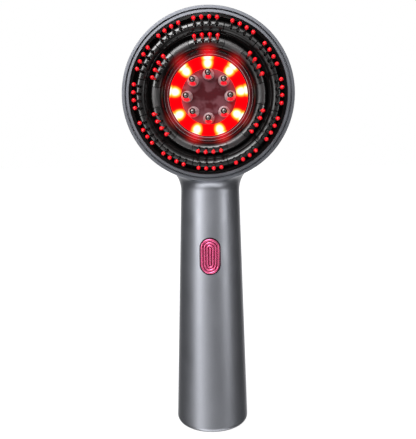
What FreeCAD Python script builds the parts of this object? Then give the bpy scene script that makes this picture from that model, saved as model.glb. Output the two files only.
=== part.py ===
"""Scalp massager: a round comb head with a lit centre on a tapered handle, as separate pieces at real size.

Millimetres. +Z runs up the handle, -Y is the front, where the bristles are, and the origin is on the flat
foot of the handle, under the handle's axis. The pieces of the head are first drawn in the head's own frame:
z along the head's axis, 0 at the rim and positive in front of it, x to the right and y up as seen from the
front. Angles on the head run clockwise from the top as seen from the front.
"""
import FreeCAD, Part
import math
import os

Vec = FreeCAD.Vector
ORIGIN = Vec(0, 0, 0)
AXIS_X = Vec(1, 0, 0)
AXIS_Y = Vec(0, 1, 0)
AXIS_Z = Vec(0, 0, 1)

# Casing
head_radius = 41.7
handle_length = 133.0  # lowest point of the head above the foot
head_front = 22.0  # rim in front of the handle's axis
head_depth = 42.0
back_crown_radius = 150.0
back_edge_radius = 10.0
handle_foot_radius = 19.35
handle_neck_radius = 15.15  # where the handle meets the head
wall = 2.0
neck_side_fillet = 14.5
neck_rim_margin = 2.35  # left between the rounding in front of the neck and the rim
foot_edge_radius = 2.8
seam_width = 0.3
seam_depth = 0.4
back_groove_radius = 22.0
back_groove_width = 0.9
back_groove_depth = 0.6

# Rim and the fit of the comb head in it
rim_band = 1.4
rim_edge = 0.35
rim_groove = 0.6
rim_groove_depth = 2.6
bezel_width = 1.45
bezel_edge = 0.2
bezel_depth = 10.5
bezel_clearance = 0.3
bezel_ledge_depth = 7.0
bezel_ledge_width = 1.6
bezel_ledge_height = 2.0
seat_rib_height = 2.5
seat_rib_width = 3.1
seal_wire_radius = 0.6
seal_depth = 4.6
seal_running_gap = 0.1
seat_gap = 0.05

# Comb tray
tray_clearance = 0.2
tray_thickness = 2.0
outer_floor_depth = 5.0
inner_floor_depth = 7.4
tray_wall_width = 1.2  # black wall inside the grey ring
tray_wall_sink = 0.8  # its top behind the rim
tray_edge = 0.25
terrace_margin = 0.5
well_margin = 0.5
tray_turn = 1.2  # the comb sits turned by this much, in degrees, anticlockwise from the front

# Bristle rows
row_bristles = 4
rail_pitch_share = 0.1775  # distance between the two rings of rails as a share of the head's radius
outer_row_count = 12
outer_rail_gap = 1.1  # distance between the rings less the width of the outer rails
outer_rail_margin = 0.3
outer_rail_height = 2.4
outer_bristle_angle = 6.0
outer_row_gap = 0.45
outer_bristle_inset = 0.05  # outer bristles stand this far inside the middle of their rail
outer_splay_angle = 9.6
outer_tip_height = 7.0
outer_tip_length = 3.1
inner_row_count = 6
inner_rail_gap = 0.7
inner_rail_height = 2.6
inner_bristle_angle = 7.8
inner_row_angle = 24.0
inner_row_gap = 0.25
inner_bristle_inset = 0.0
inner_splay_angle = 7.7
inner_tip_height = 5.0
inner_tip_length = 6.0  # nearly as long as these bristles stand out
bristle_root_radius = 0.75
bristle_neck_radius = 0.5
pocket_radius = 1.1
pocket_depth = 1.5
tip_ball_radius = 0.95
toe_bead_radius = 0.5
toe_bead_angle = 5.0  # left free in all at the two ends of a row

# Light
light_width = 5.7
light_depth = 11.0
guide_thickness = 1.9
guide_edge = 0.9
collar_width = 2.65
collar_steps = 3
collar_step_height = 0.8
collar_lip = 0.6
collar_clearance = 0.15
well_floor_thickness = 1.1
led_count = 9
led_size = 2.8
led_height = 0.9
led_board_thickness = 1.0
led_board_width = 7.3
led_gap = 1.4

# Nozzles, ball pins and oil
nozzle_count = 8
pin_circle_margin = 3.0  # pins stand this far inside the edge of the plate
plate_sink = 0.5
plate_thickness = 2.0
plate_flange_width = 1.3
guide_clearance = 0.15
cone_foot_radius = 2.9
cone_top_radius = 1.5
ball_radius = 1.55
ball_top_height = 0.4
pin_travel = 0.8
pin_over_travel = 0.4
rod_radius = 0.68
rod_clearance = 0.07
pin_collar_radius = 1.3
pin_collar_height = 0.8
spring_radius = 1.2
spring_bore = 0.8
spring_length = 2.8
spring_slack = 0.1
spring_plate_thickness = 1.2
reservoir_inset = 0.3
reservoir_wall = 0.7
reservoir_depth = 14.5
reservoir_back = 1.2
reservoir_ledge = 0.9
filler_radius = 3.5
plug_head_radius = 5.2
plug_head_height = 1.5

# Carrier in the head
chassis_clearance = 0.3
chassis_flange_width = 2.6
chassis_plate_thickness = 2.0
reservoir_clearance = 0.6
post_radius = 3.0
head_screw_inset = 10.7
head_post_depth = 26.0

# Screws
screw_radius = 1.0
screw_head_radius = 2.1
screw_head_height = 1.4
screw_hole_clearance = 0.06
screw_head_clearance = 0.3
screw_sink = 1.2  # top of a screw's head below the surface round it
screw_bite = 5.0

# Button and board
button_drop = 38.6  # middle of the button below the lowest point of the head
button_width = 9.85
button_length = 18.3
button_gap = 0.5
button_proud = 0.55
button_edge = 0.6
button_ridges = 3
button_groove_width = 0.55
button_groove_depth = 0.4
button_flange_width = 1.2
button_flange_thickness = 1.0
button_travel = 0.6
button_rest_gap = 0.65
flange_gap = 0.25
switch_size = 4.5
switch_height = 1.6
plunger_radius = 1.1
plunger_height = 0.25
board_thickness = 1.2
board_width = 16.0
board_length = 64.0
board_top_gap = 1.0
board_post_radius = 1.9
board_post_height = 1.6
board_screw_radius = 0.8
board_screw_head = 1.6
board_screw_head_height = 0.8
board_screw_margin = 3.0

# Spine, cell and motor
spine_thickness = 1.5
spine_clearance = 0.15
spine_bottom = 9.5
spine_post_radius = 2.6
spine_post_end = 2.0
spine_screw_drop = 3.0
cell_radius = 9.15
cell_bottom = 12.0
cell_motor_gap = 18.0
cell_edge = 0.4
cell_nub_radius = 2.8
cell_nub_height = 1.2
cell_gap = 0.35
saddle_width = 19.0
saddle_length = 6.0
saddle_reach = 5.9
saddle_inset = 6.0
saddle_clearance = 0.1
motor_radius = 6.0
motor_length = 20.0
motor_drop = 38.0  # lower end of the motor below the top of the spine
motor_screw_gap = 8.5
motor_set_back = 2.1
motor_saddle_margin = 3.0
motor_saddle_width = 15.0
motor_boss_radius = 2.5
motor_boss_height = 0.8
motor_bore_depth = 5.0
strap_thickness = 1.2
strap_length = 8.0
shaft_radius = 1.0
shaft_clearance = 0.05
weight_radius = 5.4
weight_height = 7.0
weight_hub_radius = 2.4
weight_gap = 0.8

# Foot
foot_plate_radius = 16.2
foot_plate_clearance = 0.15
foot_lip_height = 1.2
foot_flange_radius = 16.9
foot_flange_height = 1.5
socket_width = 8.94
socket_thickness = 3.26
socket_wall = 0.3
socket_sink = 0.5
socket_clearance = 0.2
socket_length = 6.7
tongue_width = 6.7
tongue_thickness = 0.7
charge_board_width = 22.0
charge_board_depth = 14.0
charge_post_radius = 1.6

# Leads
lead_radius = 0.7
lead_spread = 4.0
lead_drop = 4.0
lead_slot_width = 2.4

# Places worked out from the sizes above
head_height = handle_length + head_radius  # centre of the head above the foot
button_height = handle_length - button_drop
spine_top = handle_length
board_top = spine_top - board_top_gap
board_bottom = board_top - board_length
motor_bottom = spine_top - motor_drop
spine_screw_heights = (motor_bottom - motor_screw_gap, spine_top - spine_screw_drop)
cell_length = motor_bottom - cell_motor_gap - cell_bottom
neck_front_fillet = head_front - handle_neck_radius - neck_rim_margin
front_bore = head_radius - rim_band
bezel_radius = front_bore - rim_groove
bezel_inner = bezel_radius - bezel_width
land_radius = bezel_radius + bezel_clearance
drum_inner = head_radius - wall
rib_radius = drum_inner - seat_rib_width
rib_back = bezel_depth + seat_rib_height
head_screw_circle = drum_inner - head_screw_inset
tray_radius = bezel_inner - tray_clearance
tray_wall_inner = tray_radius - tray_wall_width
rail_pitch = rail_pitch_share * head_radius
outer_rail_width = rail_pitch - outer_rail_gap
inner_rail_width = rail_pitch - inner_rail_gap
outer_rail_radius = tray_wall_inner - outer_rail_margin - outer_rail_width / 2
inner_rail_radius = outer_rail_radius - rail_pitch
step_radius = inner_rail_radius + inner_rail_width / 2 + terrace_margin
well_radius = inner_rail_radius - inner_rail_width / 2 - well_margin
light_radius = well_radius - collar_width
plate_radius = light_radius - light_width
led_circle_radius = (light_radius + plate_radius) / 2
pin_circle_radius = plate_radius - pin_circle_margin
reservoir_radius = plate_radius - reservoir_inset
guide_radius = light_radius + guide_edge
guide_back = light_depth + guide_thickness
plate_front = light_depth + plate_sink
plate_back = plate_front + plate_thickness
guide_inner = plate_radius + guide_clearance
ball_centre = ball_top_height - ball_radius
cone_top = ball_centre - ball_radius - pin_travel - pin_over_travel
spring_front = plate_back + pin_collar_height + pin_travel + spring_slack
spring_back = spring_front + spring_length
reservoir_inner = reservoir_radius - reservoir_wall
reservoir_end = plate_back + reservoir_depth
led_front = guide_back + led_gap
board_front_depth = led_front + led_height
chassis_front = board_front_depth + led_board_thickness
chassis_back = chassis_front + chassis_plate_thickness
chassis_hole = reservoir_radius + reservoir_clearance
crown_centre = back_crown_radius - head_depth
edge_centre_radius = head_radius - back_edge_radius
crown_angle = math.asin(edge_centre_radius / (back_crown_radius - back_edge_radius))
edge_centre = crown_centre - (back_crown_radius - back_edge_radius) * math.cos(crown_angle)


def handle_radius(height):
    """Outer radius of the handle's cone at a height above the foot."""
    return handle_foot_radius + (handle_neck_radius - handle_foot_radius) * height / handle_length


button_face = -(handle_radius(button_height) + button_proud)
flange_half_width = button_width / 2 + button_flange_width
handle_inner_at_button = handle_radius(button_height + button_length / 2) - wall
flange_front = -math.sqrt((handle_inner_at_button - flange_gap) ** 2 - flange_half_width ** 2)
flange_back = flange_front + button_flange_thickness
plunger_front = flange_back + button_rest_gap
switch_front = plunger_front + plunger_height
board_face = switch_front + switch_height
board_rear = board_face + board_thickness
spine_front = board_rear + board_post_height
spine_back = spine_front + spine_thickness
cell_centre = spine_back + cell_gap + cell_radius
cell_top = cell_bottom + cell_length
motor_centre = spine_back + motor_set_back + motor_radius
motor_top = motor_bottom + motor_length
weight_bottom = motor_top + motor_boss_height + weight_gap
weight_top = weight_bottom + weight_height
charge_board_bottom = socket_sink + socket_length
charge_board_top = charge_board_bottom + board_thickness


def save(name, shape):
    """Writes one piece, or a group of like pieces, as one node."""
    shape.exportStep("parts/" + name + ".step")


def on_head(shape):
    """Moves a shape from the head's own frame to its place on the massager."""
    placed = shape.copy()
    placed.rotate(ORIGIN, AXIS_X, 90)
    placed.translate(Vec(0, -head_front, head_height))
    return placed


def turned(shape, angle):
    """Turns a shape drawn on the head's +x side to an angle clockwise from the top."""
    result = shape.copy()
    result.rotate(ORIGIN, AXIS_Z, 90 - angle)
    return result


def ring(points, span=360.0):
    """Solid of revolution about the head's axis, from a closed outline of (radius, z) points."""
    outline = [Vec(radius, 0, z) for radius, z in points]
    face = Part.Face(Part.makePolygon(outline + outline[:1]))
    return face.revolve(ORIGIN, AXIS_Z, span)


def tube(outer, inner, low, high):
    """Plain ring between two radii and two heights along z."""
    return ring([(inner, low), (outer, low), (outer, high), (inner, high)])


def disc(radius, low, high):
    """Plain cylinder on the z axis."""
    return Part.makeCylinder(radius, high - low, Vec(0, 0, low))


def rod_along_y(radius, x, z, start, end):
    """Cylinder parallel to Y from start to end."""
    return Part.makeCylinder(radius, end - start, Vec(x, start, z), AXIS_Y)


def block(x_half, y_low, y_high, z_low, z_high):
    """Box centred on x = 0."""
    return Part.makeBox(2 * x_half, y_high - y_low, z_high - z_low, Vec(-x_half, y_low, z_low))


def stadium(width, length, z_middle, y_low, y_high):
    """Upright prism with round ends in the X-Z plane, from y_low to y_high."""
    radius = width / 2
    reach = length / 2 - radius
    corners = [Vec(radius, y_low, z_middle - reach), Vec(radius, y_low, z_middle + reach),
               Vec(-radius, y_low, z_middle + reach), Vec(-radius, y_low, z_middle - reach)]
    top = Vec(0, y_low, z_middle + reach + radius)
    bottom = Vec(0, y_low, z_middle - reach - radius)
    edges = [Part.LineSegment(corners[0], corners[1]).toShape(),
             Part.Arc(corners[1], top, corners[2]).toShape(),
             Part.LineSegment(corners[2], corners[3]).toShape(),
             Part.Arc(corners[3], bottom, corners[0]).toShape()]
    return Part.Face(Part.Wire(edges)).extrude(Vec(0, y_high - y_low, 0))


def lying_stadium(width, thickness, z_low, z_high):
    """Prism with round ends in the X-Y plane, centred on the handle's axis."""
    upright = stadium(thickness, width, 0, 0, z_high - z_low)
    upright.rotate(ORIGIN, AXIS_Y, 90)
    upright.rotate(ORIGIN, AXIS_X, 90)
    upright.translate(Vec(0, 0, z_low))
    return upright


def cone_between(low, high, shrink):
    """Part of the handle's cone between two heights, made smaller all round by shrink."""
    foot_radius = handle_radius(low) - shrink
    top_radius = handle_radius(high) - shrink
    return Part.makeCone(foot_radius, top_radius, high - low, Vec(0, 0, low))


def drum(shrink, front):
    """Round head with a domed back, made smaller all round by shrink, from its back to z = front."""
    crown = back_crown_radius - shrink
    edge = back_edge_radius - shrink

    def on_crown(angle):
        return Vec(crown * math.sin(angle), 0, crown_centre - crown * math.cos(angle))

    def on_edge(angle):
        return Vec(edge_centre_radius + edge * math.sin(angle), 0, edge_centre - edge * math.cos(angle))

    side = math.pi / 2
    apex = on_crown(0)
    shoulder = on_edge(side)
    rim = Vec(head_radius - shrink, 0, front)
    middle = Vec(0, 0, front)
    edges = [Part.Arc(apex, on_crown(crown_angle / 2), on_crown(crown_angle)).toShape(),
             Part.Arc(on_edge(crown_angle), on_edge((crown_angle + side) / 2), shoulder).toShape(),
             Part.LineSegment(shoulder, rim).toShape(),
             Part.LineSegment(rim, middle).toShape(),
             Part.LineSegment(middle, apex).toShape()]
    return on_head(Part.Face(Part.Wire(edges)).revolve(ORIGIN, AXIS_Z, 360))


def handle_top():
    """Height at which the handle's cone ends inside the head."""
    return head_height - head_radius / 2


def casing_outside():
    """Outer form of head and handle with rounded foot, rim and neck, the neck most at its sides."""
    head = drum(0, 0)
    body = head.fuse(cone_between(0, handle_top(), 0)).Solids[0]
    foot = [edge for edge in body.Edges if edge.BoundBox.ZMax < 1e-3]
    body = body.makeFillet(foot_edge_radius, foot)
    rim = [edge for edge in body.Edges if edge.BoundBox.YMax < -head_front + 1e-3]
    body = body.makeFillet(rim_edge, rim)

    def is_neck(edge):
        for step in (0.1, 0.5, 0.9):
            point = edge.valueAt(edge.FirstParameter + (edge.LastParameter - edge.FirstParameter) * step)
            off_cone = abs(math.hypot(point.x, point.y) - handle_radius(point.z))
            off_head = head.distToShape(Part.Vertex(point))[0]
            if off_cone > 1e-3 or off_head > 1e-3:
                return False
        return True

    size = 2 * (head_height + head_radius)
    front = body.common(Part.makeBox(size, size, size, Vec(0, -size, -size / 4))).Solids[0]
    neck = [edge for edge in front.Edges if is_neck(edge)]
    radii = (neck_side_fillet, neck_front_fillet)
    if neck[0].valueAt(neck[0].FirstParameter).x < handle_neck_radius / 2:
        radii = (neck_front_fillet, neck_side_fillet)
    front = front.makeFillet(*radii, neck)
    rear = body.common(Part.makeBox(size, size, size, Vec(0, 0, -size / 4))).Solids[0]
    rear = rear.makeFillet(neck_side_fillet, [edge for edge in rear.Edges if is_neck(edge)])
    quarters = [front, rear, front.mirror(ORIGIN, AXIS_X), rear.mirror(ORIGIN, AXIS_X)]
    return quarters[0].fuse(quarters[1:]).removeSplitter().Solids[0]


def casing_inside():
    """Hollow of head and handle, with the stepped bore for the comb head and the opening in the foot."""
    hollow = drum(wall, -rib_back)
    hollow = hollow.fuse(on_head(disc(rib_radius, -rib_back, -bezel_depth)))
    hollow = hollow.fuse(on_head(disc(land_radius, -bezel_depth, -rim_groove_depth)))
    hollow = hollow.fuse(on_head(disc(front_bore, -rim_groove_depth, wall)))
    hollow = hollow.fuse(cone_between(foot_lip_height, handle_top(), wall))
    return hollow.fuse(disc(foot_plate_radius + foot_plate_clearance, -wall, foot_lip_height))


def head_screw_places():
    """Centres of the four head screws in the head's frame."""
    reach = head_screw_circle * math.sqrt(0.5)
    return [(x, y) for x in (-reach, reach) for y in (-reach, reach)]


def crown_depth(radius):
    """Depth of the outer back surface behind the rim at a distance from the head's axis."""
    return math.sqrt(back_crown_radius ** 2 - radius ** 2) - crown_centre


head_screw_seat = crown_depth(head_screw_circle) - screw_sink - screw_head_height


def spine_screw_seat(height):
    """Y of the face under a handle screw's head."""
    return handle_radius(height) - screw_sink - screw_head_height


def casing():
    """Front and rear housing: the casing cut at the middle of the handle, with its seam and screw posts."""
    outside = casing_outside()
    inside = casing_inside()
    shell = outside.cut(inside)
    size = 2 * (head_height + head_radius)
    front_half = Part.makeBox(size, size, size, Vec(-size / 2, -size, -size / 4))
    rear_half = Part.makeBox(size, size, size, Vec(-size / 2, 0, -size / 4))
    front = shell.common(front_half)
    rear = shell.common(rear_half)

    core = drum(seam_depth, 0).fuse(cone_between(seam_depth, handle_top(), seam_depth))
    slot = Part.makeBox(size, seam_width, size, Vec(-size / 2, -seam_width, seam_depth)).cut(core)
    front = front.cut(slot)
    opening = stadium(button_width + 2 * button_gap, button_length + 2 * button_gap, button_height,
                      2 * button_face, -spine_thickness)
    front = front.cut(opening)

    posts = [on_head(Part.makeCylinder(post_radius, head_depth - head_post_depth, Vec(x, y, -head_depth)))
             for x, y in head_screw_places()]
    posts += [rod_along_y(spine_post_radius, 0, height, spine_post_end, handle_foot_radius)
              for height in spine_screw_heights]
    for post in posts:
        rear = rear.fuse(post.common(outside))
    holes = []
    head_hole = screw_head_radius + screw_head_clearance
    shank_hole = screw_radius + screw_head_clearance
    for x, y in head_screw_places():
        seat = Vec(x, y, -head_screw_seat)
        holes.append(on_head(Part.makeCylinder(head_hole, head_depth, seat, -AXIS_Z)))
        holes.append(on_head(Part.makeCylinder(shank_hole, head_screw_seat, seat)))
    for height in spine_screw_heights:
        seat = spine_screw_seat(height)
        holes.append(rod_along_y(head_hole, 0, height, seat, seat + head_depth))
        holes.append(rod_along_y(shank_hole, 0, height, 0, seat))
    for hole in holes:
        rear = rear.cut(hole)
    groove_floor = -crown_depth(back_groove_radius) + back_groove_depth
    groove = tube(back_groove_radius + back_groove_width, back_groove_radius, -head_depth, groove_floor)
    rear = rear.cut(on_head(groove))
    save("front_housing", front)
    save("rear_housing", rear)


def housing_screws():
    """Six screws from behind with cross recesses: four into the head's carrier and two into the spine."""
    def screw(length):
        shape = disc(screw_radius, -length, 0).fuse(disc(screw_head_radius, 0, screw_head_height))
        arm = screw_head_radius * 0.7
        slot = screw_radius / 2
        corner = Vec(-arm, -slot / 2, screw_head_height / 2)
        recess = Part.makeBox(2 * arm, slot, screw_head_height, corner)
        for angle in (0, 90):
            cross = recess.copy()
            cross.rotate(ORIGIN, AXIS_Z, angle)
            shape = shape.cut(cross)
        return shape

    screws = []
    for x, y in head_screw_places():
        one = screw(head_screw_seat - head_post_depth + screw_bite)
        one.rotate(ORIGIN, AXIS_X, 180)
        one.translate(Vec(x, y, -head_screw_seat))
        screws.append(on_head(one))
    for height in spine_screw_heights:
        one = screw(spine_screw_seat(height) - spine_post_end + screw_bite)
        one.rotate(ORIGIN, AXIS_X, -90)
        one.translate(Vec(0, spine_screw_seat(height), height))
        screws.append(one)
    save("housing_screws", Part.makeCompound(screws))


def foot():
    """Plate that closes the foot, with the charging socket, its board and the posts that carry it."""
    plate = disc(foot_plate_radius, 0, foot_lip_height + foot_plate_clearance)
    flange_low = foot_lip_height + foot_plate_clearance
    flange_high = flange_low + foot_flange_height
    plate = plate.fuse(disc(foot_flange_radius, flange_low, flange_high))
    post_x = charge_board_width / 2 - charge_post_radius
    for x in (-post_x, post_x):
        height = charge_board_bottom - flange_high
        plate = plate.fuse(Part.makeCylinder(charge_post_radius, height, Vec(x, 0, flange_high)))
    room = 2 * socket_clearance
    slot = lying_stadium(socket_width + room, socket_thickness + room, -wall, flange_high + wall)
    save("base_cap", plate.cut(slot))

    shell = lying_stadium(socket_width, socket_thickness, socket_sink, charge_board_bottom)
    bore = lying_stadium(socket_width - 2 * socket_wall, socket_thickness - 2 * socket_wall, 0,
                         charge_board_bottom - socket_wall)
    tongue = block(tongue_width / 2, -tongue_thickness / 2, tongue_thickness / 2,
                   2 * socket_sink, charge_board_bottom - socket_wall)
    save("charge_socket", shell.cut(bore).fuse(tongue))
    save("charge_board", block(charge_board_width / 2, -charge_board_depth / 2, charge_board_depth / 2,
                               charge_board_bottom, charge_board_top))


def comb_ring():
    """Inner grey ring of the rim, which carries the comb, and the seal in its outer groove."""
    ledge_inner = bezel_inner - bezel_ledge_width
    ledge_low = bezel_ledge_depth + bezel_ledge_height
    bezel = ring([(bezel_radius, -bezel_depth), (bezel_radius, -bezel_edge),
                  (bezel_radius - bezel_edge, 0), (bezel_inner + bezel_edge, 0),
                  (bezel_inner, -bezel_edge), (bezel_inner, -bezel_ledge_depth),
                  (ledge_inner, -bezel_ledge_depth), (ledge_inner, -ledge_low),
                  (bezel_inner, -ledge_low), (bezel_inner, -bezel_depth)])
    seal_radius = land_radius - seal_running_gap - seal_wire_radius
    half = seal_wire_radius + seat_gap
    bezel = bezel.cut(tube(head_radius, seal_radius - half, -seal_depth - half, -seal_depth + half))
    save("comb_bezel", on_head(bezel))
    save("comb_head_seal", on_head(Part.makeTorus(seal_radius, seal_wire_radius, Vec(0, 0, -seal_depth))))


def rail(radius, width, height, floor, span):
    """Half-round rail: a stretch of a ring with a circular segment as section, anticlockwise from +x."""
    inner = Vec(radius - width / 2, 0, floor)
    outer = Vec(radius + width / 2, 0, floor)
    edges = [Part.Arc(inner, Vec(radius, 0, floor + height), outer).toShape(),
             Part.LineSegment(outer, inner).toShape()]
    return Part.Face(Part.Wire(edges)).revolve(ORIGIN, AXIS_Z, span)


def rail_end(radius, width, height, floor):
    """Round end of a rail on the +x side: a stretch of it inside an upright post as wide as the rail."""
    half_span = math.degrees(width / radius)
    stretch = rail(radius, width, height, floor, 2 * half_span)
    stretch.rotate(ORIGIN, AXIS_Z, -half_span)
    return stretch.common(Part.makeCylinder(width / 2, 2 * height, Vec(radius, 0, floor)))


def bristle_length(tip_height, tip_length, root, splay):
    """Length of a bristle along its own axis, from the floor of its pocket to the foot of its red tip."""
    return (tip_height - root) / math.cos(math.radians(splay)) - tip_length


def red_tip(tip_length):
    """Drop-shaped tip: a ball on a tapered neck, standing on z = 0."""
    middle = tip_length - tip_ball_radius
    lean = math.radians(35)
    side = Vec(tip_ball_radius * math.cos(lean), 0, middle - tip_ball_radius * math.sin(lean))
    edges = [Part.LineSegment(ORIGIN, Vec(bristle_neck_radius, 0, 0)).toShape(),
             Part.LineSegment(Vec(bristle_neck_radius, 0, 0), side).toShape(),
             Part.Arc(side, Vec(tip_ball_radius, 0, middle), Vec(0, 0, tip_length)).toShape(),
             Part.LineSegment(Vec(0, 0, tip_length), ORIGIN).toShape()]
    return Part.Face(Part.Wire(edges)).revolve(ORIGIN, AXIS_Z, 360)


def bristle_ring(name, digits, count, body, root_radius, crest, step, splay, tip_height, tip_length):
    """Rows of bristles round the head: body(angle) is one row's rail, and the stems are moulded on it."""
    root = crest - pocket_depth
    length = bristle_length(tip_height, tip_length, root, splay)

    def splayed(shape, angle):
        placed = shape.copy()
        placed.rotate(ORIGIN, AXIS_Y, splay)
        placed.translate(Vec(root_radius, 0, root))
        return turned(placed, angle)

    stem = Part.makeCone(bristle_root_radius, bristle_neck_radius, length)
    pocket = Part.makeCylinder(pocket_radius, length)
    tips = []
    for row in range(count):
        middle = 360.0 * row / count - tray_turn
        angles = [middle + step * (k - (row_bristles - 1) / 2) for k in range(row_bristles)]
        solid = body(middle)
        solid = solid.cut([splayed(pocket, angle) for angle in angles])
        solid = solid.fuse([splayed(stem, angle) for angle in angles])
        save(f"{name}_bristle_row_{row + 1:0{digits}d}", on_head(solid.Solids[0]))
        for angle in angles:
            tip = red_tip(tip_length)
            tip.translate(Vec(0, 0, length))
            tips.append(on_head(splayed(tip, angle)))
    save(f"{name}_bristle_tips", Part.makeCompound(tips))


def comb():
    """Black stepped tray with its plain rail pieces, and the two rings of bristle rows that stand on it."""
    outer_floor = -outer_floor_depth
    inner_floor = -inner_floor_depth
    well_floor = -guide_back
    well_low = well_floor - well_floor_thickness
    under_outer = outer_floor - tray_thickness
    under_inner = inner_floor - tray_thickness
    wall_top = -tray_wall_sink
    tray = ring([(tray_radius, under_outer), (tray_radius, wall_top),
                 (tray_wall_inner + tray_edge, wall_top), (tray_wall_inner, wall_top - tray_edge),
                 (tray_wall_inner, outer_floor),
                 (step_radius + tray_edge, outer_floor), (step_radius, outer_floor - tray_edge),
                 (step_radius, inner_floor),
                 (well_radius + tray_edge, inner_floor), (well_radius, inner_floor - tray_edge),
                 (well_radius, well_floor), (light_radius, well_floor), (light_radius, well_low),
                 (well_radius + tray_thickness, well_low), (well_radius + tray_thickness, under_inner),
                 (step_radius + tray_thickness, under_inner), (step_radius + tray_thickness, under_outer)])

    row_step = 360.0 / inner_row_count
    plain_span = row_step - inner_row_angle
    plain = rail(inner_rail_radius, inner_rail_width, inner_rail_height, inner_floor, plain_span)
    end_post = Part.makeCylinder(inner_rail_width / 2 + inner_row_gap, 2 * inner_rail_height,
                                 Vec(inner_rail_radius, 0, inner_floor))
    for row in range(inner_row_count):
        start = row_step * row - tray_turn + inner_row_angle / 2
        end = start + row_step - inner_row_angle
        piece = turned(plain, end).cut([turned(end_post, start), turned(end_post, end)])
        tray = tray.fuse(piece)
    save("comb_tray", on_head(tray.Solids[0]))

    outer_span = 360.0 / outer_row_count - math.degrees(outer_row_gap / outer_rail_radius)
    bead_radius = outer_rail_radius - outer_rail_width / 2 + toe_bead_radius
    bead_span = outer_span - toe_bead_angle

    def outer_body(middle):
        solid = rail(outer_rail_radius, outer_rail_width, outer_rail_height, outer_floor, outer_span)
        solid = turned(solid, middle + outer_span / 2)
        bead_middle = Vec(0, 0, outer_floor + outer_rail_height / 3)
        bead = Part.makeTorus(bead_radius, toe_bead_radius, bead_middle, AXIS_Z, -180, 180, bead_span)
        return solid.fuse(turned(bead, middle + bead_span / 2))

    def inner_body(middle):
        solid = rail(inner_rail_radius, inner_rail_width, inner_rail_height, inner_floor, inner_row_angle)
        solid = turned(solid, middle + inner_row_angle / 2)
        end = rail_end(inner_rail_radius, inner_rail_width, inner_rail_height, inner_floor)
        return solid.fuse([turned(end, middle + side * inner_row_angle / 2) for side in (-1, 1)])

    bristle_ring("outer", 2, outer_row_count, outer_body, outer_rail_radius - outer_bristle_inset,
                 outer_floor + outer_rail_height, outer_bristle_angle, outer_splay_angle, outer_tip_height,
                 outer_tip_length)
    bristle_ring("inner", 1, inner_row_count, inner_body, inner_rail_radius - inner_bristle_inset,
                 inner_floor + inner_rail_height, inner_bristle_angle, inner_splay_angle, inner_tip_height,
                 inner_tip_length)


def light():
    """Stepped collar, light guide over the chips, and the ring board with its chips."""
    collar_radius = well_radius - collar_clearance
    lip_low = -light_depth
    step_width = (collar_radius - light_radius) / collar_steps
    outline = [(light_radius, lip_low)]
    for step in range(collar_steps):
        height = lip_low + collar_lip + step * collar_step_height
        outline.append((light_radius + step * step_width, height))
        outline.append((light_radius + (step + 1) * step_width, height))
    outline += [(collar_radius, -guide_back), (guide_radius + collar_clearance, -guide_back),
                (guide_radius + collar_clearance, lip_low)]
    save("light_collar", on_head(ring(outline)))
    save("light_guide_ring", on_head(tube(guide_radius, guide_inner, -guide_back, -light_depth)))

    board = tube(chassis_hole + led_board_width, chassis_hole, -chassis_front, -board_front_depth)
    save("led_board", on_head(board))
    chips = []
    for index in range(led_count):
        corner = Vec(led_circle_radius - led_size / 2, -led_size / 2, -board_front_depth)
        chip = Part.makeBox(led_size, led_size, led_height, corner)
        chips.append(on_head(turned(chip, 360.0 * index / led_count)))
    save("led_chips", Part.makeCompound(chips))


def nozzles():
    """Clear plate with eight hollow cones, the ball pins in them, and the oil parts behind."""
    flange_radius = plate_radius + plate_flange_width
    plate = ring([(0, -plate_back), (flange_radius, -plate_back), (flange_radius, -guide_back),
                  (plate_radius, -guide_back), (plate_radius, -plate_front), (0, -plate_front)])
    cone_foot = -plate_front
    cone_height = cone_top - cone_foot
    bore = disc(rod_radius + rod_clearance, -plate_back - 1, cone_top + 1)
    bore.translate(Vec(pin_circle_radius, 0, 0))
    nozzle = Part.makeCone(cone_foot_radius, cone_top_radius, cone_height, Vec(0, 0, cone_foot))
    nozzle.translate(Vec(pin_circle_radius, 0, 0))
    angles = [360.0 * index / nozzle_count for index in range(nozzle_count)]
    plate = plate.fuse([turned(nozzle, angle) for angle in angles])
    plate = plate.cut([turned(bore, angle) for angle in angles])
    save("nozzle_plate", on_head(plate.Solids[0]))

    pin = Part.makeSphere(ball_radius, Vec(0, 0, ball_centre)).fuse([
        disc(rod_radius, -plate_back - pin_collar_height, ball_centre),
        disc(pin_collar_radius, -plate_back - pin_collar_height, -plate_back)])
    pin.translate(Vec(pin_circle_radius, 0, 0))
    for index, angle in enumerate(angles):
        save(f"ball_pin_{index + 1}", on_head(turned(pin.Solids[0], angle)))

    spring = tube(spring_radius, spring_bore, -spring_back, -spring_front)
    spring.translate(Vec(pin_circle_radius, 0, 0))
    save("pin_springs", Part.makeCompound([on_head(turned(spring, angle)) for angle in angles]))
    support_back = -spring_back - spring_plate_thickness
    support = tube(reservoir_inner - collar_clearance, filler_radius, support_back, -spring_back)
    save("spring_plate", on_head(support))

    narrow = reservoir_inner - reservoir_ledge
    back_inside = -reservoir_end + reservoir_back
    cup = ring([(reservoir_radius, -reservoir_end), (reservoir_radius, -plate_back),
                (reservoir_inner, -plate_back), (reservoir_inner, support_back), (narrow, support_back),
                (narrow, back_inside), (filler_radius, back_inside), (filler_radius, -reservoir_end)])
    save("oil_reservoir", on_head(cup))
    plug = disc(plug_head_radius, -reservoir_end - plug_head_height, -reservoir_end)
    plug = plug.fuse(disc(filler_radius - seat_gap, -reservoir_end, back_inside + plug_head_height))
    save("reservoir_plug", on_head(plug))


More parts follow.
